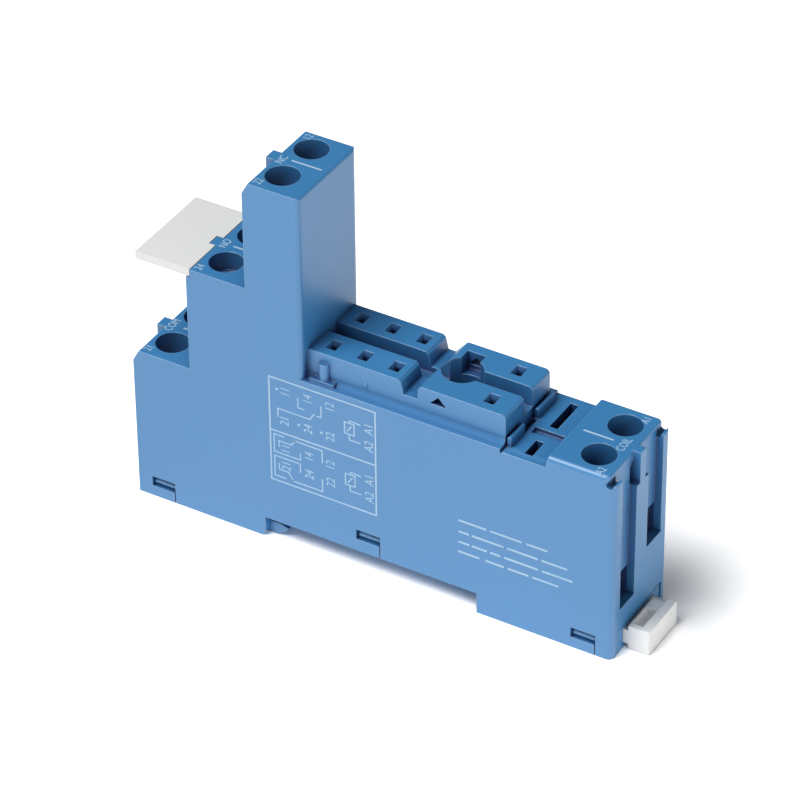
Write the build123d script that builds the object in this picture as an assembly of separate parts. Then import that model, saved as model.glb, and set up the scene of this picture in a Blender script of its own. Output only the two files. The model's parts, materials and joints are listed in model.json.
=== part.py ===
from build123d import *
import os

# Frame: X runs along the socket towards the rail clip, Y across it, Z up.
# The origin is on the ground under the middle of the rail recess. Sizes in millimetres.

# Outer housing
width = 15.8
left_reach = 38.4
right_reach = 39.2
skin = 1.15
rib = 1.2
centre_rib = 1.5
corner_round = 1.0

# Terminal tiers, each from its own wall to the next one on the right
com_depth = 9.6
no_depth = 9.7
nc_depth = 9.0
com_top = 25.2
no_rise = 17.2
nc_rise = 17.6
tier_chamfer_x = 1.0
tier_chamfer_z = 1.8
tower_wall = 1.1
tower_front_round = 0.8
tower_back_round = 1.5
tower_end_round = 0.6
tower_top_round = 1.1
wire_rib_width = 2.0
wire_rib_reach = 0.35
wire_rib_depth = 5.0

# Seat for the relay
ledge_z = 29.9
ledge_drop = 0.4
row_height = 4.55
row_inner = 1.25
front_setback = 1.6
back_setback = 1.8
channel_height = 1.3
saddle_height = 2.3
contact_row_tail = 1.67
pole_gap = 3.9
coil_row_length = 12.3
coil_front_lead = 0.7
row_end_slope = 0.85
row_corner = 0.7
front_saddle_slope = 0.15
back_saddle_slope = 1.9
foot_cove = 0.7
bar_slit = 0.3
bar_thick = 0.6
bar_height = 1.2
bar_recess = 0.8

# Contact openings under the relay's blades
aperture_offset = 2.75
aperture_pitch = 5.04
coil_pin_gap = 15.02
aperture_x = 1.0
aperture_y = 1.5
aperture_mouth = 0.34
aperture_mouth_depth = 0.8

# Pocket and hole for the panel screw
pocket_offset = 6.6
pocket_radius = 3.0
pocket_depth = 6.95
panel_hole_radius = 1.6
pocket_notch_width = 2.9
pocket_notch_y = 4.4
pocket_notch_shift = 0.25
gusset_window_width = 2.6
gusset_window_height = 1.35

# Coil terminal block
coil_block_length = 10.8
coil_rise = 1.4
coil_screw_inset = 4.8
coil_end_round = 0.5
groove_depth = 1.15
column_drop = 1.3
column_notch = 0.55
relief_height = 5.0
relief_depth = 1.0

# Slots and groove for the relay's retaining clip
clip_slot_width = 1.25
clip_slot_depth = 5.5
front_slot_end = 3.15
back_slot_start = 0.5
slot_setback = 1.3
key_groove_depth = 0.6
key_groove_start = 0.55
key_groove_end = 1.9

# Rail recess and feet
rail_width = 35.0
rail_side_play = 0.25
recess_ceiling = 3.4
foot_chamfer = 0.6
skirt_opening_z = 4.25
skirt_setback = 1.45
skirt_gap = 0.35

# Base closure
base_gap = 0.1
base_top = 4.4
base_mid_rise = 0.6
base_mid_wall = 2.9
base_mid_half = 6.0
base_wall = 1.0
foot_wall = 1.5
hook_wall = 2.2
hook_nose = 3.7
hook_top = 2.1
hook_bottom = 0.2
lug_width = 3.5
lug_height = 1.2
lug_reach = 0.75
window_width = 3.95
window_height = 1.7
window_z = 1.75
mid_window_z = 5.4
left_window_inset = 4.25
mid_window_x = 0.2
right_window_inset = 4.55
slit = 0.16

# Screws, box clamps and contact strips
screw_inset = 4.1
driver_lip = 0.25
lip_height = 1.2
head_height = 1.6
head_side_gap = 0.7
head_slot = 0.7
head_slot_depth = 0.7
thread_gap = 0.1
thread_wall = 0.55
clamp_travel = 3.4
window_side_wall = 0.9
wire_window_height = 4.8
window_lead = 0.4
cage_length = 5.0
cage_wall = 0.8
cage_top = 1.3
cage_side_gap = 0.2
cage_gap = 0.1
strip = 0.8
bar_rise = 3.7
bar_side_gap = 0.2
bar_gap = 0.1
bar_reach = 2.2
riser_gap = 0.15
riser_width = 0.9
riser_room = 1.8
coil_riser_room = 1.3
blade_height = 2.4
high_blade_drop = 2.1
low_blade_top = 19.6
plane_step = 1.5
fork_depth = 3.0
fork_length = 2.2
fork_gap = 0.6
fork_leaf = 0.45
fork_mouth = 0.35
fork_room = 1.5
shaft_clear = 0.3
part_gap = 0.1

# Sill height of each wire window, from the top of its tier or from the base
com_sill_drop = 16.2
no_sill_drop = 15.4
nc_sill_drop = 15.8
front_coil_sill_rise = 3.25
coil_sill_step = 5.85

# Rail clip
clip_travel = 3.0
clip_half = 4.3
clip_bottom = 0.8
clip_top = 3.2
clip_neck = 0.6
clip_grip_length = 1.9
clip_plate_length = 1.4
clip_head_top = 4.1
clip_grip_top = 4.0
clip_ground = 0.1
clip_nose = 2.9
clip_nose_chamfer = 0.9
clip_side_gap = 0.2
clip_lip = 0.8
clip_lip_height = 0.6
clip_grip_setback = 1.4
clip_plate_setback = 0.45
clip_guide_reach = 4.0
driver_pocket_depth = 2.2
driver_pocket_length = 1.7
driver_pocket_start = 0.9
driver_pocket_width = 4.0

# Marker plate
marker_thickness = 1.15
marker_reach = 8.3
marker_seat = 0.7
marker_back_gap = 0.15
marker_tongue_width = 0.9
marker_tongue_length = 2.0
marker_tongue_height = 0.7
marker_tongue_drop = 0.35
marker_tongue_inset = 0.95
marker_gap = 0.1

# Values worked out from the sizes above
half = width / 2
inner = half - skin
shaft = inner - centre_rib / 2
pole = centre_rib / 2 + shaft / 2
no_wall_x = -left_reach + com_depth
nc_wall_x = no_wall_x + no_depth
tower_right_x = nc_wall_x + nc_depth
no_top = com_top + no_rise
nc_top = no_top + nc_rise
recess_left = -rail_width / 2
recess_right = rail_width / 2 + rail_side_play

row_top = ledge_z + row_height
row_y = {-1: half - front_setback, 1: half - back_setback}
channel_floor = ledge_z + channel_height
saddle_z = ledge_z + saddle_height
aperture_places = [tower_right_x + aperture_offset + aperture_pitch * i for i in range(3)]
contact_row_end = aperture_places[2] + contact_row_tail
coil_row_start = contact_row_end + pole_gap
coil_row_end = coil_row_start + coil_row_length
row_face_x = coil_row_end + row_corner
floor_z = ledge_z - ledge_drop
pocket_x = contact_row_end + pocket_offset
pocket_floor = row_top - pocket_depth
coil_aperture_x = aperture_places[2] + coil_pin_gap

coil_step_x = right_reach - coil_block_length
coil_top = ledge_z + coil_rise
coil_screw_x = right_reach - coil_screw_inset
groove_floor_x = right_reach - groove_depth
column_top = coil_top - column_drop
slot_x = (row_face_x + bar_slit + coil_step_x) / 2

skirt_opening_y = half - skirt_setback
base_mid_top = base_top + base_mid_rise
base_mid_wall_top = base_top + base_mid_wall
snap_places = [(-left_reach + left_window_inset, window_z), (mid_window_x, mid_window_z),
               (right_reach - right_window_inset, window_z)]

cage_width = shaft - 2 * cage_side_gap
cage_inside = cage_width / 2 - cage_wall
screw_radius = cage_inside - thread_wall
head_radius = shaft / 2 - head_side_gap
lip_radius = head_radius - driver_lip
funnel_radius = head_radius + bar_side_gap
bar_width = 2 * (cage_inside - bar_side_gap)
window_half = shaft / 2 - window_side_wall
plate_rise = bar_rise + strip + cage_gap
head_rise = plate_rise + cage_top + clamp_travel + 2 * cage_gap
chamber_rise = head_rise + head_height + part_gap
fork_foot = ledge_z - fork_depth

clip_back_x = recess_right + clip_side_gap
clip_grip_x = right_reach + clip_neck
clip_head_x = clip_grip_x + clip_grip_length
clip_end_x = clip_head_x + clip_plate_length
marker_right_x = no_wall_x + marker_seat

com_sill = com_top - com_sill_drop
no_sill = no_top - no_sill_drop
nc_sill = nc_top - nc_sill_drop
front_coil_sill = base_top + front_coil_sill_rise
back_coil_sill = front_coil_sill + coil_sill_step

tiers = {
    "1": {"x": -left_reach + screw_inset, "wall": -left_reach, "sill": com_sill, "top": com_top, "leads": 1},
    "4": {"x": no_wall_x + screw_inset, "wall": no_wall_x, "sill": no_sill, "top": no_top, "leads": 1},
    "2": {"x": nc_wall_x + screw_inset, "wall": nc_wall_x, "sill": nc_sill, "top": nc_top, "leads": 1},
}
coil_tier = {"x": coil_screw_x, "wall": right_reach, "top": coil_top, "leads": -1}
terminals = {side_name + tier_name: dict(tier, side=side)
             for side_name, side in (("1", 1), ("2", -1)) for tier_name, tier in tiers.items()}
terminals["a1"] = dict(coil_tier, side=1, sill=back_coil_sill)
terminals["a2"] = dict(coil_tier, side=-1, sill=front_coil_sill)
contact_plane = {"1": 0, "4": plane_step, "2": -plane_step}
contact_aperture = {"1": aperture_places[1], "4": aperture_places[0], "2": aperture_places[2]}
blade_level = {"1": com_sill + bar_rise + strip, "4": ledge_z - high_blade_drop, "2": low_blade_top}


def block(x0, x1, y0, y1, z0, z1):
    """A box between two values on each axis."""
    centre = Pos((x0 + x1) / 2, (y0 + y1) / 2, (z0 + z1) / 2)
    return centre * Box(x1 - x0, y1 - y0, z1 - z0)


def slab(points, y0, y1):
    """A plate with its outline in X and Z, between two values of Y."""
    face = Pos(0, y0, 0) * make_face(Plane.XZ * Polyline(*points, close=True))
    return extrude(face, amount=y1 - y0, dir=(0, 1, 0))


def post(x, y, radius, z0, z1):
    """An upright cylinder."""
    return Pos(x, y, (z0 + z1) / 2) * Cylinder(radius, z1 - z0)


def rod_x(x0, x1, y, z, radius):
    """A cylinder along X."""
    return Pos((x0 + x1) / 2, y, z) * Rot(0, 90, 0) * Cylinder(radius, x1 - x0)


def rod_y(x, y0, y1, z, radius):
    """A cylinder along Y."""
    return Pos(x, (y0 + y1) / 2, z) * Rot(90, 0, 0) * Cylinder(radius, y1 - y0)


def edge_near(shape, axis, place):
    """The straight edge along an axis that lies nearest to a place."""
    return shape.edges().filter_by(axis).sort_by_distance(place)[0]


def tier_corner(wall_x, top):
    """The two points of a tier's chamfered upper left corner."""
    return [(wall_x, top - tier_chamfer_z), (wall_x + tier_chamfer_x, top)]


def outer_outline():
    """The housing's side outline, from the left foot round to the rail recess."""
    marker_floor = no_top - marker_thickness - 2 * marker_gap
    step_x = row_face_x + bar_slit
    points = [(-left_reach, 0)]
    points += tier_corner(-left_reach, com_top)
    points += [(no_wall_x, com_top), (no_wall_x, marker_floor), (marker_right_x, marker_floor)]
    points += [(marker_right_x, no_top), (nc_wall_x, no_top)]
    points += tier_corner(nc_wall_x, nc_top)
    points += [(tower_right_x, nc_top), (tower_right_x, ledge_z), (step_x, ledge_z), (step_x, floor_z)]
    points += [(coil_step_x, floor_z), (coil_step_x + 0.3, coil_top), (groove_floor_x, coil_top)]
    points += [(groove_floor_x, column_top), (right_reach, column_top), (right_reach, 0)]
    points += [(recess_right, 0), (recess_right, recess_ceiling)]
    points += [(recess_left + foot_chamfer, recess_ceiling)]
    points += [(recess_left + foot_chamfer, 1.5 * foot_chamfer), (recess_left, 0)]
    return points


def outer_body():
    """The solid housing block with its rounded coil end."""
    body = slab(outer_outline(), -half, half)
    body = fillet(edge_near(body, Axis.Y, (groove_floor_x, 0, coil_top)), coil_end_round)
    for y in (-half, half):
        body = fillet(edge_near(body, Axis.Z, (right_reach, y, column_top / 2)), corner_round)
        body = fillet(edge_near(body, Axis.Z, (groove_floor_x, y, column_top + 0.1)), corner_round * 0.8)
    fin_x = groove_floor_x - coil_end_round
    body += block(fin_x, right_reach, -centre_rib / 2, centre_rib / 2, column_top - 0.1, coil_top)
    return body


def corner_bar(radius, length):
    """What rounds off an upright edge at the origin whose corner points to +X and +Y."""
    return Box(2 * radius, 2 * radius, length) - Pos(-radius, -radius, 0) * Cylinder(radius, length + 1)


def tower_rounding():
    """What is taken off the tower's outer edges."""
    height = nc_top - ledge_z
    middle_z = ledge_z + height / 2
    cuts = Pos(tower_right_x, half, middle_z) * corner_bar(tower_back_round, height)
    cuts += Pos(tower_right_x, -half, middle_z) * Rot(0, 0, -90) * corner_bar(tower_front_round, height)
    cuts += Pos(tower_right_x, 0, nc_top) * Rot(90, 0, 0) * corner_bar(tower_end_round, width + 1)
    cuts += Pos(tower_right_x, half, nc_top) * Rot(0, -90, 0) * corner_bar(tower_top_round, 2 * nc_depth)
    return cuts


def relay_row(side):
    """One row of contact and coil blocks, with the low saddle between them."""
    start = coil_row_start - (coil_front_lead if side < 0 else 0)
    slope = front_saddle_slope if side < 0 else back_saddle_slope
    points = [(tower_right_x - 1, ledge_z - 1), (tower_right_x - 1, row_top), (contact_row_end, row_top)]
    points += [(contact_row_end + row_end_slope / 2, row_top - row_end_slope / 2)]
    points += [(contact_row_end + row_end_slope, saddle_z), (start - slope, saddle_z), (start, row_top)]
    points += [(row_face_x, row_top), (row_face_x, ledge_z - 1)]
    y0, y1 = sorted((side * row_inner, side * row_y[side]))
    middle_y = (y0 + y1) / 2
    row = slab(points, y0, y1)
    row = fillet(edge_near(row, Axis.Y, (start, middle_y, row_top)), row_corner)
    row = fillet(edge_near(row, Axis.Y, (row_face_x, middle_y, row_top)), row_corner)
    edge_y = side * row_y[side]
    cove_y = edge_y + side * foot_cove
    y0, y1 = sorted((edge_y - side * 0.1, cove_y))
    row += block(tower_right_x - 1, row_face_x, y0, y1, ledge_z - 1, ledge_z + foot_cove)
    return row - rod_x(tower_right_x - 2, row_face_x + 1, cove_y, ledge_z + foot_cove, foot_cove)


def saddle_bars():
    """Round-topped bars at the end of the coil blocks, one behind each row."""
    x0 = row_face_x + bar_slit
    top = ledge_z + bar_height - bar_thick / 2
    shape = Part()
    for y0, y1 in ((-row_y[-1], -2 * row_inner), (row_inner, row_y[1])):
        shape += block(x0, x0 + bar_thick, y0, y1, floor_z - 1, top)
        shape += rod_y(x0 + bar_thick / 2, y0, y1, top, bar_thick / 2)
    return shape


def bar_slots():
    """The slit between the coil blocks and the bars, wider between the rows."""
    x1 = row_face_x + bar_slit
    slit_cut = block(row_face_x, x1, -half - 1, row_y[1] + bar_slit, floor_z - 0.2, row_top)
    y0 = 0.2 - 2 * row_inner
    recess = block(row_face_x, x1 + bar_thick, y0, row_inner - 0.2, floor_z - bar_recess, row_top)
    return slit_cut + recess


def front_lug():
    """The small shelf and half-round rib on the front of the contact row."""
    x = aperture_places[0]
    radius = 0.85
    wide = 2.3 * radius
    front_y = -row_y[-1]
    shelf = block(x - wide, x + wide, front_y - 1.2 * radius, front_y, ledge_z - 1, ledge_z + 0.5)
    return shelf + post(x, front_y, radius, ledge_z, saddle_z + radius)


def shaft_spans():
    """Hollow shafts inside each pole: the left and right end of each tier's and the coil's."""
    half_cage = cage_length / 2
    spans = {}
    for key, tier in tiers.items():
        spans[key] = (tier["wall"] + rib + part_gap, tier["x"] + half_cage + riser_room)
    spans["2"] = (spans["2"][0], tower_right_x - tower_wall)
    spans["a"] = (coil_screw_x - half_cage - coil_riser_room, coil_screw_x + half_cage + shaft_clear)
    return spans


def pole_cavities(side):
    """The open inside of one pole, from the base up to each screw and contact."""
    y0 = side * pole - shaft / 2
    y1 = side * pole + shaft / 2
    bottom = base_top - 0.2
    spans = shaft_spans()
    coil_sill = back_coil_sill if side > 0 else front_coil_sill
    cavity = block(*spans["a"], y0, y1, bottom, coil_sill + chamber_rise)
    for key, tier in tiers.items():
        cavity += block(*spans[key], y0, y1, bottom, tier["sill"] + chamber_rise)
    left = tower_right_x + part_gap
    contact_room_end = aperture_places[2] + fork_length / 2 + shaft_clear
    boss_left = contact_room_end + rib
    boss_right = pocket_x + pocket_radius + rib
    roof = 1.5
    cavity += block(left, contact_room_end, y0, y1, bottom, ledge_z - roof)
    middle = block(boss_left, boss_right, y0, y1, bottom, pocket_floor - rib)
    cavity += middle - post(pocket_x, 0, pocket_radius, 0, pocket_floor)
    cavity += block(boss_right + rib, spans["a"][0] - rib, y0, y1, bottom, floor_z - roof)
    y0 = side * pole - fork_room
    y1 = side * pole + fork_room
    for x in aperture_places + [coil_aperture_x]:
        cavity += block(x - fork_room, x + fork_room, y0, y1, fork_foot - part_gap, row_top - rib - part_gap)
    return cavity


def aperture(x, y):
    """A contact opening with its tapered mouth."""
    wide = aperture_x / 2
    deep = aperture_y / 2
    hole = block(x - wide, x + wide, y - deep, y + deep, row_top - 2, row_top + 1)
    mouth = Plane.XY.offset(row_top) * Rectangle(2 * (wide + aperture_mouth), 2 * (deep + aperture_mouth))
    throat = Plane.XY.offset(row_top - aperture_mouth_depth) * Rectangle(aperture_x, aperture_y)
    return hole + Pos(x, y, 0) * loft([mouth, throat])


def funnel(term):
    """The screwdriver hole above a screw, with the lip that keeps the screw in."""
    y = term["side"] * pole
    chamber_top = term["sill"] + chamber_rise
    hole = post(term["x"], y, funnel_radius, chamber_top + lip_height, term["top"] + 1)
    return hole + post(term["x"], y, lip_radius, chamber_top - 0.1, chamber_top + lip_height + 0.1)


def wire_window(term):
    """The wire entry in an end wall, wider at its outer face on the tiers."""
    y = term["side"] * pole
    wall = term["wall"]
    sill = term["sill"]
    x0, x1 = sorted((term["x"], wall - term["leads"]))
    hole = block(x0, x1, y - window_half, y + window_half, sill, sill + wire_window_height)
    if term["leads"] < 0:
        return hole
    wide = 2 * (window_half + window_lead)
    outer = Plane.YZ.offset(wall) * Rectangle(wide, wire_window_height + 2 * window_lead)
    throat = Plane.YZ.offset(wall + window_lead) * Rectangle(2 * window_half, wire_window_height)
    return hole + Pos(0, y, sill + wire_window_height / 2) * loft([outer, throat])


def end_groove(side, sill):
    """The wire groove above a coil window, wider and deeper towards the middle near its top."""
    end = right_reach + 1
    top = column_top + 0.1
    y0, y1 = sorted((side * (pole - window_half), side * (pole + window_half)))
    groove = block(groove_floor_x, end, y0, y1, sill, top)
    relief_z = coil_top - relief_height
    points = [(end, relief_z), (groove_floor_x - relief_depth, relief_z), (groove_floor_x, column_top)]
    points += [(groove_floor_x, top), (end, top)]
    y0, y1 = sorted((side * centre_rib / 2, side * (pole - window_half + 0.1)))
    return groove + slab(points, y0, y1)


def end_notches():
    """Half-round notches over the end wall's outer columns."""
    cut = Part()
    for y0, y1 in ((-half - 1, -pole - window_half), (pole + window_half, half + 1)):
        cut += rod_y(groove_floor_x + column_notch / 3, y0, y1, column_top, column_notch)
    return cut


def base_room():
    """The room in the housing's underside for the base closure."""
    left = -left_reach + skin
    right = right_reach - skin
    points = [(left, -1), (left, base_top), (recess_left - rib, base_top), (recess_left - rib, base_mid_top)]
    points += [(recess_right + rib, base_mid_top), (recess_right + rib, base_top)]
    points += [(right, base_top), (right, -1)]
    side_y = inner + base_gap / 2
    room = slab(points, -side_y, side_y)
    wide = base_mid_half + 2 * base_gap
    x0 = mid_window_x - wide
    x1 = mid_window_x + wide
    for side in (-1, 1):
        y0, y1 = sorted((side * (inner - base_wall - base_gap), side * side_y))
        room += block(x0, x1, y0, y1, base_top, base_mid_wall_top + base_gap)
    room += block(right - 1, right_reach + 1, -skirt_opening_y, skirt_opening_y, -1, skirt_opening_z)
    return room


def blade_slots(side):
    """Slots through the inner ribs that let the contact blades pass."""
    y = side * pole
    spans = shaft_spans()
    bottom = base_top - 0.2
    wide = strip / 2 + part_gap
    slots = Part()
    for key, target in contact_aperture.items():
        plane_y = y + contact_plane[key]
        top = blade_level[key] + part_gap
        slots += block(spans[key][1] - 1, target, plane_y - wide, plane_y + wide, bottom, top)
    sill = back_coil_sill if side > 0 else front_coil_sill
    top = sill + bar_rise + strip + part_gap
    return slots + block(coil_aperture_x, spans["a"][0] + 1, y - wide, y + wide, bottom, top)


def snap_windows():
    """Windows and fine splits in both side walls for the base's snap lugs."""
    cuts = Part()
    for side in (-1, 1):
        y0, y1 = sorted((side * (inner - 1), side * (half + 1)))
        for x, z in snap_places:
            edge = x + window_width / 2
            cuts += block(x - window_width / 2, edge, y0, y1, z, z + window_height)
            cuts += block(edge - slit, edge, y0, y1, -1, z + 0.1)
    return cuts


def pocket_notch():
    """The square notch behind the screw pocket and the two triangular windows."""
    middle = pocket_x - pocket_notch_shift
    wide = pocket_notch_width / 2
    notch = block(middle - wide, middle + wide, 0, pocket_notch_y, saddle_z - 0.6, row_top + 1)
    wide = gusset_window_width / 2
    sill = saddle_z + 0.1
    points = [(middle - wide, sill), (middle + wide, sill), (middle, sill + gusset_window_height)]
    front = slab(points, -half, 1 - pocket_radius)
    return notch + front + slab(points, pocket_notch_y - 0.5, half)


def clip_slots():
    """Two slots and the shallow groove for the relay's retaining clip."""
    top = ledge_z + 0.1
    x0 = slot_x - clip_slot_width / 2
    x1 = slot_x + clip_slot_width / 2
    cuts = block(x0, x1, slot_setback + 0.1 - half, -front_slot_end, floor_z - clip_slot_depth, top)
    cuts += block(x0, x1, back_slot_start, half - slot_setback, floor_z - clip_slot_depth, top)
    x0 = row_face_x + bar_slit + 2 * bar_thick
    x1 = coil_step_x - 1.0
    return cuts + block(x0, x1, -key_groove_end, -key_groove_start, floor_z - key_groove_depth, top)


def tongue_heights():
    """The underside and top of the marker plate's tongues."""
    top = no_top - marker_tongue_drop
    return top - marker_tongue_height, top


def marker_slots():
    """Slots that take the marker plate's tongues."""
    z0, z1 = tongue_heights()
    wide = marker_tongue_width / 2 + marker_gap
    end = marker_right_x + marker_tongue_length + marker_gap
    cut = Part()
    for side in (-1, 1):
        y = side * (half - marker_tongue_inset)
        cut += block(marker_right_x - 1, end, y - wide, y + wide, z0 - marker_gap, z1 + marker_gap)
    return cut


def housing_shell():
    """The blue moulded housing."""
    body = outer_body() - tower_rounding()
    for side in (-1, 1):
        body += relay_row(side)
    body += block(tower_right_x - 1, row_face_x, -row_inner, row_inner, ledge_z - 1, channel_floor)
    body -= bar_slots()
    body += saddle_bars()
    body += front_lug()
    for key, tier in tiers.items():
        z0 = 0 if key == "1" else tier["top"] - wire_rib_depth
        x = tier["wall"]
        wide = wire_rib_width / 2
        body += block(x - wire_rib_reach, x + skin, -wide, wide, z0, tier["top"])
    for side in (-1, 1):
        body -= pole_cavities(side)
        body -= blade_slots(side)
        for x in aperture_places + [coil_aperture_x]:
            body -= aperture(x, side * pole)
    for term in terminals.values():
        body -= funnel(term)
        body -= wire_window(term)
    body -= end_groove(-1, front_coil_sill)
    body -= end_groove(1, back_coil_sill)
    body -= end_notches()
    body -= post(pocket_x, 0, pocket_radius, pocket_floor, row_top + 1)
    body -= post(pocket_x, 0, panel_hole_radius, -1, row_top)
    body -= pocket_notch()
    body -= clip_slots()
    body -= base_room()
    body -= snap_windows()
    body -= marker_slots()
    return body


def base_outline():
    """The closure's side outline, with the fixed rail hook."""
    left = -left_reach + skin + base_gap
    right = right_reach - skin - base_gap
    top = base_top - base_gap
    mid_top = base_mid_top - base_gap
    nose = recess_left + hook_nose
    mid_left = recess_left - rib + base_gap
    mid_right = recess_right + rib - base_gap
    points = [(left, 0), (left, top), (mid_left, top), (mid_left, mid_top)]
    points += [(mid_right, mid_top), (mid_right, top), (right, top)]
    points += [(right, 0), (recess_right, 0), (recess_right, recess_ceiling), (recess_left, recess_ceiling)]
    points += [(recess_left, hook_top), (nose - 1.2, hook_top), (nose, hook_top - 0.5)]
    points += [(nose - 0.6, hook_bottom + 0.7), (nose - 1.8, hook_bottom)]
    points += [(recess_left, hook_bottom), (recess_left, 0)]
    return points


def base_closure():
    """The moulded bottom with its feet, fixed rail hook and clip guide."""
    side_y = inner - base_gap / 2
    left = -left_reach + skin + base_gap + foot_wall
    body = slab(base_outline(), -side_y, side_y)
    end_y = skirt_opening_y - skirt_gap
    inside = right_reach - skin - base_gap - foot_wall
    body += block(inside, right_reach - base_gap, -end_y, end_y, 0, skirt_opening_z - skirt_gap)
    x0 = mid_window_x - base_mid_half
    x1 = mid_window_x + base_mid_half
    for side in (-1, 1):
        y0, y1 = sorted((side * (side_y - base_wall), side * side_y))
        body += block(x0, x1, y0, y1, base_top, base_mid_wall_top)
    body += snap_lugs(side_y)
    body -= clip_channel()
    body -= post(pocket_x, 0, panel_hole_radius, -1, base_mid_wall_top)
    wall_y = side_y - foot_wall
    return body - block(left, recess_left - hook_wall, -wall_y, wall_y, -1, base_top - foot_wall)


def snap_lugs(side_y):
    """Wedge lugs that catch in the housing's side windows."""
    lugs = Part()
    for side in (-1, 1):
        root = side * (side_y - 0.3)
        tip = side * (side_y + lug_reach)
        for x, z in snap_places:
            z0 = z + window_height - lug_height - base_gap
            outline = [(root, z0), (tip, z0), (tip, z0 + lug_height / 4), (root, z0 + lug_height)]
            face = make_face(Plane.YZ * Polyline(*outline, close=True))
            lugs += Pos(x, 0, 0) * extrude(face, amount=lug_width / 2, both=True)
    return lugs


def clip_channel():
    """The guide in the base that the rail clip slides in."""
    open_y = clip_half + clip_side_gap
    lip_y = open_y - clip_lip
    start = recess_right - clip_guide_reach
    end = right_reach + 1
    roof = clip_top + clip_side_gap
    lip_start = recess_right + clip_travel + clip_neck
    channel = block(start, end, -open_y, open_y, clip_lip_height, roof)
    channel += block(start, lip_start, -open_y, open_y, -1, roof)
    channel += block(start, end, -lip_y, lip_y, -1, clip_lip_height + 0.1)
    return channel


def rail_clip():
    """The sliding clip that grips the rail and is pulled out with a screwdriver."""
    nose_x = rail_width / 2 - clip_nose
    inside = clip_back_x + 0.1
    lip_y = clip_half - clip_lip
    body = block(clip_back_x, clip_head_x, -clip_half, clip_half, clip_bottom, clip_top)
    body += block(clip_back_x, clip_head_x, -lip_y, lip_y, clip_ground, clip_bottom + 0.1)
    nose = [(inside, clip_ground), (nose_x + 1.5 * clip_nose_chamfer, clip_ground)]
    nose += [(nose_x, clip_ground + clip_nose_chamfer), (nose_x, hook_top - 0.5)]
    nose += [(nose_x + clip_nose_chamfer, hook_top), (inside, hook_top)]
    body += slab(nose, -clip_half, clip_half)
    grip_y = clip_half - clip_grip_setback
    plate_y = clip_half - clip_plate_setback
    body += block(clip_grip_x, clip_head_x, -clip_half, grip_y, clip_ground, clip_grip_top)
    body += block(clip_head_x, clip_end_x, -clip_half, plate_y, clip_ground, clip_head_top)
    edge = clip_head_x - driver_pocket_length
    over = clip_head_top + 1
    points = [(edge, over), (edge, clip_grip_top - 0.5), (clip_head_x, clip_grip_top - driver_pocket_depth)]
    points += [(clip_head_x, over)]
    y0 = driver_pocket_start - clip_half
    return body - slab(points, y0, y0 + driver_pocket_width)


def marker_plate():
    """The white marker plate that plugs in under the middle tier's top face."""
    right = marker_right_x - marker_gap
    top = no_top + marker_gap / 2
    bottom = top - marker_thickness
    back = half - marker_back_gap
    body = block(no_wall_x - marker_reach, right, -half, back, bottom, top)
    gap = wire_rib_width / 2 + marker_gap
    body -= block(no_wall_x - wire_rib_reach - marker_gap, right + 1, -gap, gap, bottom - 1, top + 1)
    z0, z1 = tongue_heights()
    wide = marker_tongue_width / 2
    for side in (-1, 1):
        y = side * (half - marker_tongue_inset)
        body += block(right - 0.5, right + marker_tongue_length, y - wide, y + wide, z0, z1)
    return body


def terminal_screw(term):
    """A captive clamp screw with a slotted head."""
    x = term["x"]
    y = term["side"] * pole
    tip = term["sill"] + bar_rise + strip + bar_gap
    head = term["sill"] + head_rise
    body = post(x, y, screw_radius, tip, head + 0.1) + post(x, y, head_radius, head, head + head_height)
    slot_z = head + head_height - head_slot_depth
    wide = head_slot / 2
    body -= block(x - head_radius - 1, x + head_radius + 1, y - wide, y + wide, slot_z, slot_z + 2)
    return body - block(x - wide, x + wide, y - screw_radius, y + screw_radius, slot_z, slot_z + 2)


def clamp_cage(term):
    """A box clamp: a folded loop with a threaded top, open along the wire."""
    x = term["x"]
    y = term["side"] * pole
    floor = term["sill"] + cage_gap
    ceiling = term["sill"] + plate_rise
    x0 = x - cage_length / 2
    x1 = x + cage_length / 2
    body = block(x0, x1, y - cage_width / 2, y + cage_width / 2, floor - cage_wall, ceiling + cage_top)
    body -= block(x0 - 1, x1 + 1, y - cage_inside, y + cage_inside, floor, ceiling)
    return body - post(x, y, screw_radius + thread_gap, ceiling - 1, ceiling + cage_top + 1)


def fork(x, y, bottom):
    """Two spring leaves that grip a relay blade."""
    top = row_top - fork_room
    foot_y = fork_gap / 2 + fork_leaf
    reach = fork_length / 2
    shape = block(x - reach, x + reach, y - foot_y, y + foot_y, bottom - strip, bottom + 0.3)
    for side in (-1, 1):
        near = side * fork_gap / 2
        far = side * foot_y
        spread = side * fork_mouth
        outline = [(near, bottom), (far, bottom), (far, top - 1), (far + spread, top), (near + spread, top)]
        outline += [(near, top - 1)]
        face = make_face(Plane.YZ * Polyline(*outline, close=True))
        shape += Pos(x, y, 0) * extrude(face, amount=reach, both=True)
    return shape


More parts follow.
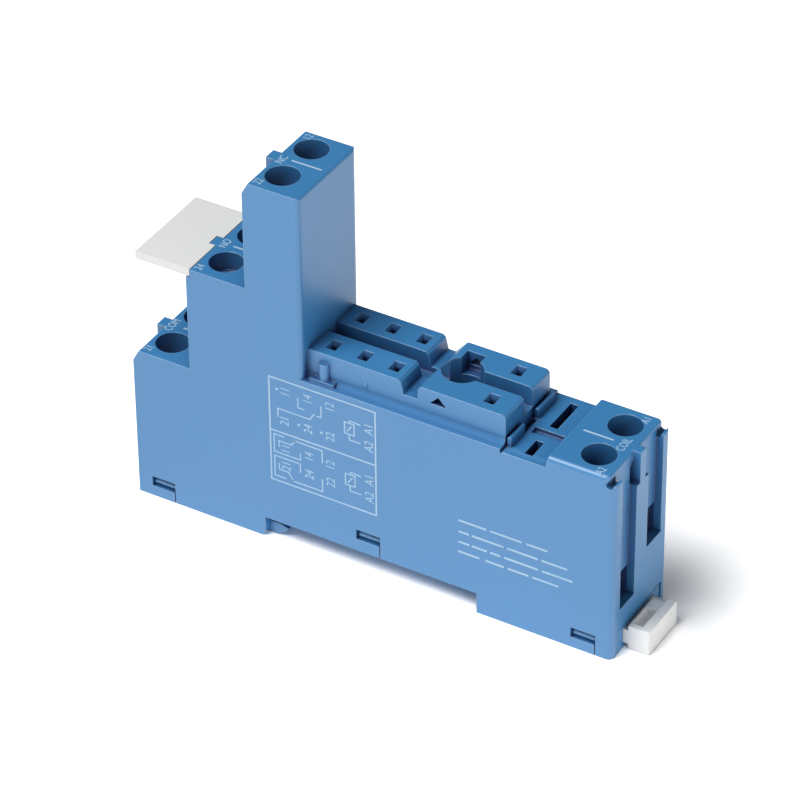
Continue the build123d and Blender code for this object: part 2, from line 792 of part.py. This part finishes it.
def contact_strip(name, term):
    """A stamped strip from a clamp's bar to the fork under its contact opening."""
    y = term["side"] * pole
    lead = term["leads"]
    bar_z = term["sill"] + bar_rise
    coil = name[0] == "a"
    plane_y = y if coil else y + contact_plane[name[1]]
    target = coil_aperture_x if coil else contact_aperture[name[1]]
    level = bar_z + strip if coil else blade_level[name[1]]
    cage_edge = term["x"] + lead * (cage_length / 2 + riser_gap)
    riser_end = cage_edge + lead * riser_width
    x0, x1 = sorted((term["x"] - lead * bar_reach, riser_end))
    shape = block(x0, x1, y - bar_width / 2, y + bar_width / 2, bar_z, bar_z + strip)
    blade_y = (plane_y - strip / 2, plane_y + strip / 2)
    x0, x1 = sorted((cage_edge, riser_end))
    shape += block(x0, x1, *blade_y, min(level - blade_height, bar_z), bar_z + strip)
    x0, x1 = sorted((cage_edge, target + lead * fork_length / 2))
    shape += block(x0, x1, *blade_y, level - blade_height, level)
    x0, x1 = (target - fork_length / 2, target + fork_length / 2)
    shape += block(x0, x1, *blade_y, level - blade_height, fork_foot)
    y0, y1 = sorted((plane_y, y))
    shape += block(x0, x1, y0 - strip / 2, y1 + strip / 2, fork_foot - strip, fork_foot)
    return shape + fork(target, y, fork_foot)


def build_parts():
    """Every piece by its node name."""
    pieces = {"housing_shell": housing_shell(), "base_closure": base_closure()}
    pieces["rail_clip"] = rail_clip()
    pieces["marker_plate"] = marker_plate()
    for name, term in terminals.items():
        pieces["terminal_screw_" + name] = terminal_screw(term)
        pieces["clamp_cage_" + name] = clamp_cage(term)
        pieces["contact_strip_" + name] = contact_strip(name, term)
    return pieces


os.makedirs("parts", exist_ok=True)
for node, piece in build_parts().items():
    piece.label = node
    export_step(piece, "parts/" + node + ".step")
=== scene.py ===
import json
import math
import bpy
import bmesh
from mathutils import Matrix, Vector


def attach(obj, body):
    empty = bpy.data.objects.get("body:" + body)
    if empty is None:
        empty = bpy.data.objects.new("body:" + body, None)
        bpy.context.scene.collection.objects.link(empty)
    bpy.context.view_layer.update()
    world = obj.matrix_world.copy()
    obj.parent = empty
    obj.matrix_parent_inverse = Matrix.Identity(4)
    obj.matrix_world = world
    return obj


# Looks for a rail-mounted relay socket. Sizes here are in millimetres; the frame is in metres.

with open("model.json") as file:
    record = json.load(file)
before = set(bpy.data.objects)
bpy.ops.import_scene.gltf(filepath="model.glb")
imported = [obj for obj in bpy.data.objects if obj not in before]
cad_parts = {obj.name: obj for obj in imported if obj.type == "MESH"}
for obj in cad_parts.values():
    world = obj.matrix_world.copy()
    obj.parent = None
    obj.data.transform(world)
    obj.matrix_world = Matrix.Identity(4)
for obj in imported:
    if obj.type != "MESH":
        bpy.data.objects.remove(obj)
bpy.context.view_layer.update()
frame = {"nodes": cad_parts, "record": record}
mm = 0.001


# shader maths

class Wire:
    # one socket; sums, products and powers of wires add the Math nodes
    def __init__(self, finish, socket):
        self.finish = finish
        self.socket = socket

    def math(self, operation, *values):
        return self.finish.add("ShaderNodeMath", {"operation": operation}, dict(enumerate(values)))

    def __add__(self, other):
        return self.math("ADD", self, other)

    def __radd__(self, other):
        return self.math("ADD", other, self)

    def __sub__(self, other):
        return self.math("SUBTRACT", self, other)

    def __rsub__(self, other):
        return self.math("SUBTRACT", other, self)

    def __mul__(self, other):
        return self.math("MULTIPLY", self, other)

    def __rmul__(self, other):
        return self.math("MULTIPLY", other, self)

    def __truediv__(self, other):
        return self.math("DIVIDE", self, other)

    def __rtruediv__(self, other):
        return self.math("DIVIDE", other, self)

    def __pow__(self, other):
        return self.math("POWER", self, other)

    def __rpow__(self, other):
        return self.math("POWER", other, self)

    def held(self):
        return self.finish.add("ShaderNodeClamp", {}, {"Value": self})    # kept within 0 and 1


class Finish:
    # one material and the nodes that are added to it
    def __init__(self, name):
        self.material = bpy.data.materials.new(name)
        self.material.use_nodes = True
        self.tree = self.material.node_tree
        self.tree.nodes.clear()

    def add(self, kind, settings, inputs, output=0):
        node = self.tree.nodes.new(kind)
        for key, value in settings.items():
            setattr(node, key, value)
        for key, value in inputs.items():
            if isinstance(value, Wire):
                self.tree.links.new(value.socket, node.inputs[key])
            else:
                node.inputs[key].default_value = value
        return Wire(self, node.outputs[output]) if len(node.outputs) else None

    def place(self):
        return self.add("ShaderNodeTexCoord", {}, {}, "Object")

    def noise(self, scale, detail, vector=None):
        inputs = {"Vector": vector or self.place(), "Scale": scale, "Detail": detail}
        return self.add("ShaderNodeTexNoise", {}, inputs, "Fac")

    def blendColours(self, share, one, other):
        inputs = {"Factor": share, "A": one, "B": other}
        return self.add("ShaderNodeMix", {"data_type": "RGBA"}, inputs, "Result")

    def rounded(self, radius):
        return self.add("ShaderNodeBevel", {"samples": 6}, {"Radius": radius * mm})

    def bumped(self, height, strength, distance, normal):
        inputs = {"Strength": strength, "Distance": distance * mm, "Height": height, "Normal": normal}
        return self.add("ShaderNodeBump", {}, inputs)

    def edgeMask(self, soft, hard=1.5):
        # 1 along rounded edges, 0 on the flats
        geometry = self.add("ShaderNodeNewGeometry", {}, {}, "Normal")
        dot = self.add("ShaderNodeVectorMath", {"operation": "DOT_PRODUCT"}, {0: soft, 1: geometry}, "Value")
        return ((1 - dot).held() ** 0.5 * hard).held()

    def within(self, low, high, fade):
        # 1 inside an upright box in millimetres, fading over its skin
        inside = 1
        for k in range(3):
            along = self.add("ShaderNodeSeparateXYZ", {}, {"Vector": self.place()}, k)
            inside = inside * ((along - low[k] * mm) / (fade * mm)).held()
            inside = inside * ((high[k] * mm - along) / (fade * mm)).held()
        return inside

    def openness(self, reach):
        # 1 in the open, towards 0 deep in a hole
        settings = {"samples": 6, "only_local": True}
        return self.add("ShaderNodeAmbientOcclusion", settings, {"Distance": reach * mm}, "AO")

    def close(self, shader):
        self.add("ShaderNodeOutputMaterial", {}, {"Surface": shader})
        return self.material


def rgba(red, green, blue):
    return (red, green, blue, 1.0)


blue = {
    "base": (0.036, 0.208, 0.458), "deep": (0.030, 0.187, 0.426), "cloud": 55,
    # edge highlight colour and mask settings: a painted highlight along rounded edges
    "edge": (0.30, 0.52, 0.76), "edgeRadius": 0.18, "edgeShare": 0.66, "edgeOpen": 0.66, "edgeGain": 5,
    # colour of the painted shade
    "paintedShade": (0.006, 0.030, 0.130),
    # painted shade in creases and holes, from occlusion within a short reach
    "crease": {"reach": 2.6, "below": 0.72, "gain": 1.9},
    # painted shade near the tower foot and in other deep corners, from occlusion within a long reach
    "corner": {"reach": 15, "below": 0.82, "gain": 0.95},
    "hollowShade": {"low": (29.0, -6.7, 6.2), "high": (38.1, 6.7, 23.5), "fade": 0.3},      # painted shade inside the coil end
    "foot": {"low": (-11.0, -7.15, 29.2), "high": (28.0, -6.2, 30.4), "fade": 0.12},   # cove under the contact rows
    # painted shade over the cove and the foot of the contact rows
    "paintedCoveShade": {"low": (-10.8, -7.3, 28.6), "high": (21.6, -5.7, 31.7), "fade": 1.4}, "paintedCoveShadeShare": 0.28,
    "grain": 5200, "flow": 240, "flowShare": 0.35, "bump": 0.10, "bumpDepth": 0.03,
    "roughness": 0.44, "cloudRough": 0.10, "grainRough": 0.08, "edgePolish": 0.14, "footMatt": 0.5,
    "shine": 0.9, "ior": 1.55}


def blueMoulding():
    # satin moulded plastic with a fine spark-eroded grain, paler edges that are a painted highlight, and painted
    # shade in creases, corners, the cove and the hollow coil end
    finish = Finish("blueMoulding")
    soft = finish.rounded(blue["edgeRadius"])
    cloud = finish.noise(blue["cloud"], 3)
    grain = finish.noise(blue["grain"], 2)
    flow = finish.noise(blue["flow"], 4)
    crease, corner = blue["crease"], blue["corner"]
    air = finish.openness(crease["reach"])
    wideAir = finish.openness(corner["reach"])
    # painted shade inside the coil end
    hollowShade = finish.within(**blue["hollowShade"])
    foot = finish.within(**blue["foot"])
    # painted shade over the cove under the contact rows
    paintedCoveShade = finish.within(**blue["paintedCoveShade"]) * blue["paintedCoveShadeShare"]
    # painted shade where the short-reach occlusion is high, in creases and holes
    creaseShade = (crease["below"] - air) * crease["gain"]
    # painted shade where the long-reach occlusion is high
    cornerShade = ((corner["below"] - wideAir) * corner["gain"]).held()
    # all painted shade together: creases, corners, the coil end and the cove
    shade = (creaseShade.held() + cornerShade + hollowShade + paintedCoveShade).held()
    # painted highlight: pale colour along the rounded convex edges, kept off concave edges and the cove
    edge = finish.edgeMask(soft) * ((air - blue["edgeOpen"]) * blue["edgeGain"]).held() * (1 - foot)
    body = finish.blendColours(cloud, rgba(*blue["deep"]), rgba(*blue["base"]))
    # blend towards the painted shade colour
    body = finish.blendColours(shade, body, rgba(*blue["paintedShade"]))
    colour = finish.blendColours(edge * blue["edgeShare"], body, rgba(*blue["edge"]))
    normal = finish.bumped(grain + flow * blue["flowShare"], blue["bump"], blue["bumpDepth"], soft)
    rough = blue["roughness"] + (cloud - 0.5) * blue["cloudRough"] + (grain - 0.5) * blue["grainRough"]
    rough = rough - edge * blue["edgePolish"] + foot * blue["footMatt"]
    shader = finish.add("ShaderNodeBsdfPrincipled", {}, {
        "Base Color": colour, "Roughness": rough, "Specular IOR Level": blue["shine"],
        "IOR": blue["ior"], "Normal": normal})
    return finish.close(shader)


white = {"clip": (0.90, 0.90, 0.885), "plate": (0.755, 0.76, 0.745), "mottle": 0.955, "cloud": 120,
         "edgeRadius": 0.18, "grain": 4200, "bump": 0.08, "bumpDepth": 0.03,
         "roughness": 0.42, "cloudRough": 0.12, "shine": 0.5}


def whiteMoulding(name, tone):
    # white nylon, faintly mottled
    finish = Finish(name)
    soft = finish.rounded(white["edgeRadius"])
    cloud = finish.noise(white["cloud"], 4)
    low = [value * white["mottle"] for value in tone]
    colour = finish.blendColours(cloud, rgba(*low), rgba(*tone))
    normal = finish.bumped(finish.noise(white["grain"], 2), white["bump"], white["bumpDepth"], soft)
    rough = white["roughness"] + (cloud - 0.5) * white["cloudRough"]
    shader = finish.add("ShaderNodeBsdfPrincipled", {}, {
        "Base Color": colour, "Roughness": rough, "Specular IOR Level": white["shine"], "Normal": normal})
    return finish.close(shader)


steel = {"bright": (0.68, 0.69, 0.70), "dull": (0.50, 0.51, 0.53), "cloud": 900, "edgeRadius": 0.07,
         "turns": 900, "wander": 2.0, "cloudHeight": 0.5, "bump": 0.06, "bumpDepth": 0.01,
         "roughness": 0.40, "cloudRough": 0.2, "turnRough": 0.12}


def zincPlate():
    # bright zinc over turned and stamped steel
    finish = Finish("zincPlate")
    soft = finish.rounded(steel["edgeRadius"])
    cloud = finish.noise(steel["cloud"], 4)
    colour = finish.blendColours(cloud, rgba(*steel["dull"]), rgba(*steel["bright"]))
    turned = finish.add("ShaderNodeTexWave", {"wave_type": "RINGS", "rings_direction": "Z"}, {
        "Vector": finish.place(), "Scale": steel["turns"], "Distortion": steel["wander"], "Detail": 2.0}, "Fac")
    normal = finish.bumped(turned + cloud * steel["cloudHeight"], steel["bump"], steel["bumpDepth"], soft)
    rough = steel["roughness"] + (cloud - 0.5) * steel["cloudRough"] + (turned - 0.5) * steel["turnRough"]
    shader = finish.add("ShaderNodeBsdfPrincipled", {}, {
        "Base Color": colour, "Metallic": 1.0, "Roughness": rough, "Normal": normal})
    return finish.close(shader)


brass = {"tin": (0.68, 0.66, 0.58), "warm": (0.62, 0.52, 0.33), "cloud": 700, "edgeRadius": 0.10,
         "edgeShare": 0.6, "cloudShare": 0.3, "lines": 9000, "stretch": (0.08, 1.0, 1.0),
         "bump": 0.10, "bumpDepth": 0.02, "roughness": 0.28, "cloudRough": 0.15}


def tinnedBrass():
    # tin plate with rolling lines, and the brass showing warm at the sheared edges
    finish = Finish("tinnedBrass")
    soft = finish.rounded(brass["edgeRadius"])
    cloud = finish.noise(brass["cloud"], 4)
    worn = (finish.edgeMask(soft) * brass["edgeShare"] + cloud * brass["cloudShare"]).held()
    colour = finish.blendColours(worn, rgba(*brass["tin"]), rgba(*brass["warm"]))
    rolled = finish.add("ShaderNodeVectorMath", {"operation": "MULTIPLY"},
                        {0: finish.place(), 1: brass["stretch"]}, "Vector")
    lines = finish.noise(brass["lines"], 2, rolled)
    normal = finish.bumped(lines, brass["bump"], brass["bumpDepth"], soft)
    rough = brass["roughness"] + (cloud - 0.5) * brass["cloudRough"]
    shader = finish.add("ShaderNodeBsdfPrincipled", {}, {
        "Base Color": colour, "Metallic": 1.0, "Roughness": rough, "Normal": normal})
    return finish.close(shader)


ink = {"full": (0.42, 0.58, 0.73), "thin": (0.28, 0.46, 0.66), "fine": 1500, "wide": 180,
       "share": 0.6, "below": 0.32, "gain": 2.4, "roughness": 0.5, "coverRough": 0.2, "shine": 0.4}


def paleInk():
    # pad-printed ink, a little thin and uneven over the blue
    finish = Finish("paleInk")
    cover = finish.noise(ink["fine"], 3)
    wide = finish.noise(ink["wide"], 2)
    share = ((cover * ink["share"] + wide * ink["share"] - ink["below"]) * ink["gain"]).held()
    colour = finish.blendColours(share, rgba(*ink["thin"]), rgba(*ink["full"]))
    rough = ink["roughness"] + (cover - 0.5) * ink["coverRough"]
    shader = finish.add("ShaderNodeBsdfPrincipled", {}, {
        "Base Color": colour, "Roughness": rough, "Specular IOR Level": ink["shine"]})
    return finish.close(shader)


slotFinish = {"blue_moulding": blueMoulding(), "white_moulding": whiteMoulding("clipNylon", white["clip"]),
              "zinc_plated_steel": zincPlate(), "tinned_brass": tinnedBrass()}
nodeFinish = {"marker_plate": whiteMoulding("plateNylon", white["plate"])}
inkFinish = paleInk()
print("finishes made:", ", ".join(sorted(slotFinish)))

for row in frame["record"]["subparts"]:
    node = frame["nodes"][row["node"]]
    node.data.materials.clear()
    node.data.materials.append(nodeFinish.get(row["node"], slotFinish[row["material_slot"]]))
    for face in node.data.polygons:
        face.material_index = 0
print("nodes finished:", len(frame["nodes"]))


# print on the mouldings: thin closed solids just proud of the face they lie on

printed = {"proud": 0.016, "sunk": 0.012, "line": 0.25, "thinLine": 0.21, "digit": 1.42, "squeeze": 0.80,
           "dot": 0.22, "dotSides": 14, "capShare": 0.70, "sharpest": 0.35}


class Face:
    # a flat place to build on: its origin, its right and up directions
    def __init__(self, origin, right, up):
        self.origin = Vector(origin)
        self.right = Vector(right)
        self.up = Vector(up)
        self.out = self.right.cross(self.up)

    def point(self, across, along, height):
        return (self.origin + self.right * across + self.up * along + self.out * height) * mm


def offsetSides(points, width, ring):
    # the two long sides of a stroke with mitred corners
    count = len(points)
    sides = ([], [])
    for i in range(count):
        here = Vector(points[i])
        back = (here - Vector(points[i - 1])).normalized() if i or ring else None
        ahead = (Vector(points[(i + 1) % count]) - here).normalized() if i < count - 1 or ring else None
        back = back or ahead
        ahead = ahead or back
        bend = (back + ahead).normalized()
        side = Vector((-bend.y, bend.x))
        reach = width / 2 / max(side.dot(Vector((-ahead.y, ahead.x))), printed["sharpest"])
        sides[0].append(here + side * reach)
        sides[1].append(here - side * reach)
    return sides


def addStroke(mesh, face, points, width, ring=False):
    left, right = offsetSides(points, width, ring)
    low, high = -printed["sunk"], printed["proud"]
    rows = []
    for a, b in zip(left, right):
        corners = ((a, high), (b, high), (b, low), (a, low))
        rows.append([mesh.verts.new(face.point(p.x, p.y, height)) for p, height in corners])
    spans = len(rows) if ring else len(rows) - 1
    for i in range(spans):
        one, two = rows[i], rows[(i + 1) % len(rows)]
        for k in range(4):
            mesh.faces.new((one[k], one[(k + 1) % 4], two[(k + 1) % 4], two[k]))
    if not ring:
        mesh.faces.new(rows[0])
        mesh.faces.new(rows[-1][::-1])


def addRings(mesh, face, centre, rings, sides):
    # a closed solid through oval rings, each a half width, a half height and a distance out of the face
    turns = [2 * math.pi * i / sides for i in range(sides)]
    rims = []
    for wide, high, out in rings:
        rims.append([mesh.verts.new(face.point(centre[0] + wide * math.cos(t), centre[1] + high * math.sin(t), out))
                     for t in turns])
    for lower, upper in zip(rims, rims[1:]):
        for i in range(sides):
            k = (i + 1) % sides
            mesh.faces.new((lower[i], lower[k], upper[k], upper[i]))
    mesh.faces.new(rims[0][::-1])
    mesh.faces.new(rims[-1])


def addDot(mesh, face, centre):
    rings = [(printed["dot"], printed["dot"], out) for out in (-printed["sunk"], printed["proud"])]
    addRings(mesh, face, centre, rings, printed["dotSides"])


def addWords(mesh, face, words, centre, size, squeeze):
    # generic numbers and terminal names, set from the built-in face
    curve = bpy.data.curves.new("words", "FONT")
    curve.body = words
    curve.size = size / printed["capShare"]
    curve.align_x = "CENTER"
    curve.resolution_u = 3
    curve.extrude = 0.5
    holder = bpy.data.objects.new("words", curve)
    flat = bpy.data.meshes.new_from_object(holder)
    heights = [v.co.y for v in flat.vertices]
    middle = (min(heights) + max(heights)) / 2
    thickness = printed["proud"] + printed["sunk"]
    for v in flat.vertices:
        height = (v.co.z + 0.5) * thickness - printed["sunk"]
        v.co = face.point(centre[0] + v.co.x * squeeze, centre[1] + v.co.y - middle, height)
    mesh.from_mesh(flat)
    bpy.data.meshes.remove(flat)
    bpy.data.objects.remove(holder)
    bpy.data.curves.remove(curve)


def finishPiece(mesh, name, finish, smooth=False):
    # every piece made here sits on the blue moulding and rides with the housing
    bmesh.ops.recalc_face_normals(mesh, faces=mesh.faces[:])
    data = bpy.data.meshes.new(name)
    mesh.to_mesh(data)
    mesh.free()
    data.materials.append(finish)
    for face in data.polygons:
        face.use_smooth = smooth
    piece = bpy.data.objects.new(name, data)
    bpy.context.scene.collection.objects.link(piece)
    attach(piece, "housing")


halfWidth = 7.9
front = Face((0, -halfWidth, 0), (1, 0, 0), (0, 0, 1))
frontUpright = Face((0, -halfWidth, 0), (0, 0, 1), (-1, 0, 0))    # words that climb

diagram = {
    "left": -15.6, "right": 1.62, "top": 28.8, "bottom": 10.9, "middle": 19.65,
    "upper": [
        [(-14.25, 22.2), (-14.25, 23.72), (-9.0, 23.68), (-8.2, 24.95)],
        [(-10.9, 26.75), (-10.9, 25.05), (-9.85, 25.0)],
        [(-7.95, 24.62), (-7.15, 24.72), (-7.15, 26.65)]],
    "coil": [[(-2.5, 25.5), (-2.5, 25.85), (-0.75, 25.72)], [(-2.6, 23.4), (-2.6, 22.55), (-0.8, 22.55)]],
    "coilBox": [(-3.35, 25.4), (-1.8, 25.4), (-1.8, 23.5), (-3.35, 23.5)],
    "coilBar": [(-2.95, 23.9), (-2.2, 25.0)],
    "lower": [
        [(-14.2, 16.95), (-14.2, 18.05), (-12.2, 18.0), (-11.35, 19.2)],
        [(-13.3, 19.0), (-15.0, 19.0), (-15.0, 15.95), (-10.7, 15.95), (-10.7, 17.1)],
        [(-11.75, 18.95), (-7.1, 18.95), (-7.1, 16.8)],
        [(-13.1, 11.75), (-15.0, 11.75), (-15.0, 15.22), (-10.75, 15.22), (-10.75, 13.7)],
        [(-14.25, 14.1), (-14.25, 13.0), (-12.7, 13.0), (-12.1, 12.0)],
        [(-11.9, 11.75), (-7.15, 11.75), (-7.15, 13.95)]],
    "drop": -8.95,    # from the upper coil to the lower one
    "upperWords": [("11", (27.0, -13.0)), ("14", (27.05, -9.35)), ("12", (27.05, -5.75)), ("21", (21.9, -13.2)),
                   ("24", (21.9, -9.35)), ("22", (21.9, -5.75)), ("A1", (25.55, 0.52)), ("A2", (22.55, 0.52))],
    "lowerWords": [("11", (17.0, -13.1)), ("14", (17.1, -9.3)), ("12", (16.95, -5.8)), ("21", (14.05, -13.1)),
                   ("24", (13.95, -9.3)), ("22", (13.9, -5.8)), ("A1", (16.7, 0.52)), ("A2", (13.7, 0.52))],
    "dots": [(-14.35, 27.0), (-10.85, 22.05), (-7.15, 22.05)]}


def printDiagram():
    mesh = bmesh.new()
    line, thin = printed["line"], printed["thinLine"]
    left, right, middle = diagram["left"], diagram["right"], diagram["middle"]
    border = [(left, diagram["top"]), (left, diagram["bottom"]), (right, diagram["bottom"]), (right, diagram["top"])]
    addStroke(mesh, front, border, line, ring=True)
    addStroke(mesh, front, [(left + line / 2, middle), (right - line / 2, middle)], line)
    for path in diagram["upper"] + diagram["lower"]:
        addStroke(mesh, front, path, thin)
    for drop in (0, diagram["drop"]):
        for path in diagram["coil"] + [diagram["coilBar"]]:
            addStroke(mesh, front, [(x, z + drop) for x, z in path], thin)
        addStroke(mesh, front, [(x, z + drop) for x, z in diagram["coilBox"]], thin, ring=True)
    for words, (along, up) in diagram["upperWords"] + diagram["lowerWords"]:
        addWords(mesh, frontUpright, words, (along, -up), printed["digit"], printed["squeeze"])
    for spot in diagram["dots"]:
        addDot(mesh, front, spot)
    finishPiece(mesh, "printed_circuit_diagram", inkFinish)


# plain bars low on the front: the height of each row, then where its bars start and end
textBars = {"thick": 0.34, "rows": [
    (15.25, [(14.85, 19.3), (19.9, 24.9), (25.6, 28.9)]),
    (13.3, [(14.85, 16.5), (17.0, 22.0), (22.6, 27.4), (28.0, 32.0)]),
    (11.5, [(14.85, 16.6), (17.0, 19.4), (19.9, 21.5), (22.1, 27.5), (28.1, 32.9)]),
    (9.8, [(14.85, 18.2), (19.2, 22.1), (22.7, 26.0), (26.6, 30.7)])]}


def printBars():
    mesh = bmesh.new()
    for level, bars in textBars["rows"]:
        for start, end in bars:
            addStroke(mesh, front, [(start, level), (end, level)], textBars["thick"])
    finishPiece(mesh, "printed_text_bars", inkFinish)


# names on the tops: the height of each tier, then its words at y and x; rules have a height and two ends
tops = {"size": 1.25, "squeeze": 0.74, "ruleLine": 0.30, "words": [
    (25.2, [("21", (-6.5, -36.6)), ("COM", (-0.1, -36.75)), ("11", (6.2, -36.6))]),
    (42.4, [("24", (-6.6, -27.3)), ("NO", (0.05, -27.3)), ("14", (6.2, -27.3))]),
    (60.0, [("22", (-6.6, -17.2)), ("NC", (-0.45, -17.25)), ("12", (6.1, -17.05))]),
    (31.3, [("A2", (-6.9, 36.3)), ("COIL", (-0.2, 36.25)), ("A1", (6.2, 36.25))])],
    "rules": [(25.2, -34.9, -29.2), (42.4, -25.9, -19.5), (60.0, -15.9, -11.1), (31.3, 29.9, 34.6)]}


def printTops():
    mesh = bmesh.new()
    for level, words in tops["words"]:
        face = Face((0, 0, level), (0, 1, 0), (-1, 0, 0))
        for text, (y, x) in words:
            addWords(mesh, face, text, (y, -x), tops["size"], tops["squeeze"])
    for level, start, end in tops["rules"]:
        face = Face((0, 0, level), (1, 0, 0), (0, 1, 0))
        addStroke(mesh, face, [(start, 0), (end, 0)], tops["ruleLine"])
    finishPiece(mesh, "printed_terminal_names", inkFinish)


printDiagram()
printBars()
printTops()
print("print laid on the mouldings")


# small moulded nub on the front of the contact row; its rings give a share of the width and a distance out
nub = {"wall": -6.3, "centre": (-0.78, 31.6), "wide": 0.62, "high": 1.05, "sides": 20,
       "rings": [(1.0, -0.15), (1.0, 0.0), (0.92, 0.11), (0.72, 0.20), (0.38, 0.26)]}


def mouldNub():
    mesh = bmesh.new()
    face = Face((0, nub["wall"], 0), (1, 0, 0), (0, 0, 1))
    rings = [(nub["wide"] / 2 * share, nub["high"] / 2 * share, out) for share, out in nub["rings"]]
    addRings(mesh, face, nub["centre"], rings, nub["sides"])
    finishPiece(mesh, "row_nub", slotFinish["blue_moulding"], smooth=True)


mouldNub()
print("nub moulded")


# floor, light and camera, in metres

room = {"floorSize": 6.0, "tone": (0.91, 0.94), "cloud": 40, "shown": 1.35,
        "sky": (0.97, 0.985, 1.0), "skyLevel": 0.07, "aim": (0, 0, 0.02)}


def floorFinish():
    # pale matt sheet; camera, mirror and glass rays see it brighter, so it turns white and keeps the shadow
    finish = Finish("paleSheet")
    low, high = room["tone"]
    colour = finish.blendColours(finish.noise(room["cloud"], 3), rgba(low, low, low), rgba(high, high, high))
    matt = finish.add("ShaderNodeBsdfDiffuse", {}, {"Color": colour})
    shown = finish.add("ShaderNodeBsdfDiffuse", {}, {"Color": rgba(room["shown"], room["shown"], room["shown"])})
    rays = [finish.add("ShaderNodeLightPath", {}, {}, "Is " + kind + " Ray")
            for kind in ("Camera", "Glossy", "Transmission")]
    seen = (rays[0] + rays[1] + rays[2]).held()
    return finish.close(finish.add("ShaderNodeMixShader", {}, {0: seen, 1: matt, 2: shown}))


def layFloor():
    half = room["floorSize"] / 2
    mesh = bmesh.new()
    mesh.faces.new([mesh.verts.new((x * half, y * half, 0.0)) for x, y in ((-1, -1), (1, -1), (1, 1), (-1, 1))])
    data = bpy.data.meshes.new("floor")
    mesh.to_mesh(data)
    mesh.free()
    data.materials.append(floorFinish())
    floor = bpy.data.objects.new("floor", data)
    bpy.context.scene.collection.objects.link(floor)


def lightWorld():
    world = bpy.data.worlds.new("studio")
    bpy.context.scene.world = world
    world.use_nodes = True
    sky = world.node_tree.nodes["Background"]
    sky.inputs["Color"].default_value = rgba(*room["sky"])
    sky.inputs["Strength"].default_value = room["skyLevel"]


lamps = {"keyBox": {"place": (-0.62, -0.92, 2.07), "size": (1.3, 1.3), "power": 62.0},      # high, front left
         "fillBox": {"place": (0.34, -0.15, 0.12), "size": (0.28, 0.22), "power": 0.54}}    # low, right


def softBox(name, place, size, power):
    lamp = bpy.data.lights.new(name, "AREA")
    lamp.shape = "RECTANGLE"
    lamp.size, lamp.size_y = size
    lamp.energy = power
    holder = bpy.data.objects.new(name, lamp)
    bpy.context.scene.collection.objects.link(holder)
    holder.location = place
    holder.rotation_euler = (Vector(room["aim"]) - Vector(place)).to_track_quat("-Z", "Y").to_euler()


layFloor()
lightWorld()
for name, lamp in lamps.items():
    softBox(name, **lamp)
print("room lit")

# camera angles in radians; the target and distance in millimetres
view = {"azimuth": 0.538952, "elevation": 0.635507, "roll": -0.009598, "distance": 628.28,
        "target": (0.924, 0.0, 25.660), "focalPixels": 4513.75, "pictureWidth": 800, "sensor": 36.0,
        "near": 0.01, "far": 20}


def placeCamera():
    a, e, r = view["azimuth"], view["elevation"], view["roll"]
    back = Vector((math.sin(a) * math.cos(e), -math.cos(a) * math.cos(e), math.sin(e)))
    level = Vector((math.cos(a), math.sin(a), 0))
    rise = back.cross(level)
    right = level * math.cos(r) + rise * math.sin(r)
    up = rise * math.cos(r) - level * math.sin(r)
    lens = bpy.data.cameras.new("camera")
    lens.sensor_width = view["sensor"]
    lens.lens = view["focalPixels"] / view["pictureWidth"] * view["sensor"]
    lens.clip_start, lens.clip_end = view["near"], view["far"]
    camera = bpy.data.objects.new("camera", lens)
    bpy.context.scene.collection.objects.link(camera)
    spot = (Vector(view["target"]) + back * view["distance"]) * mm
    camera.matrix_world = Matrix.Translation(spot) @ Matrix((right, up, back)).transposed().to_4x4()
    bpy.context.scene.camera = camera


placeCamera()
bpy.context.scene.view_settings.view_transform = "Standard"
print("camera placed")
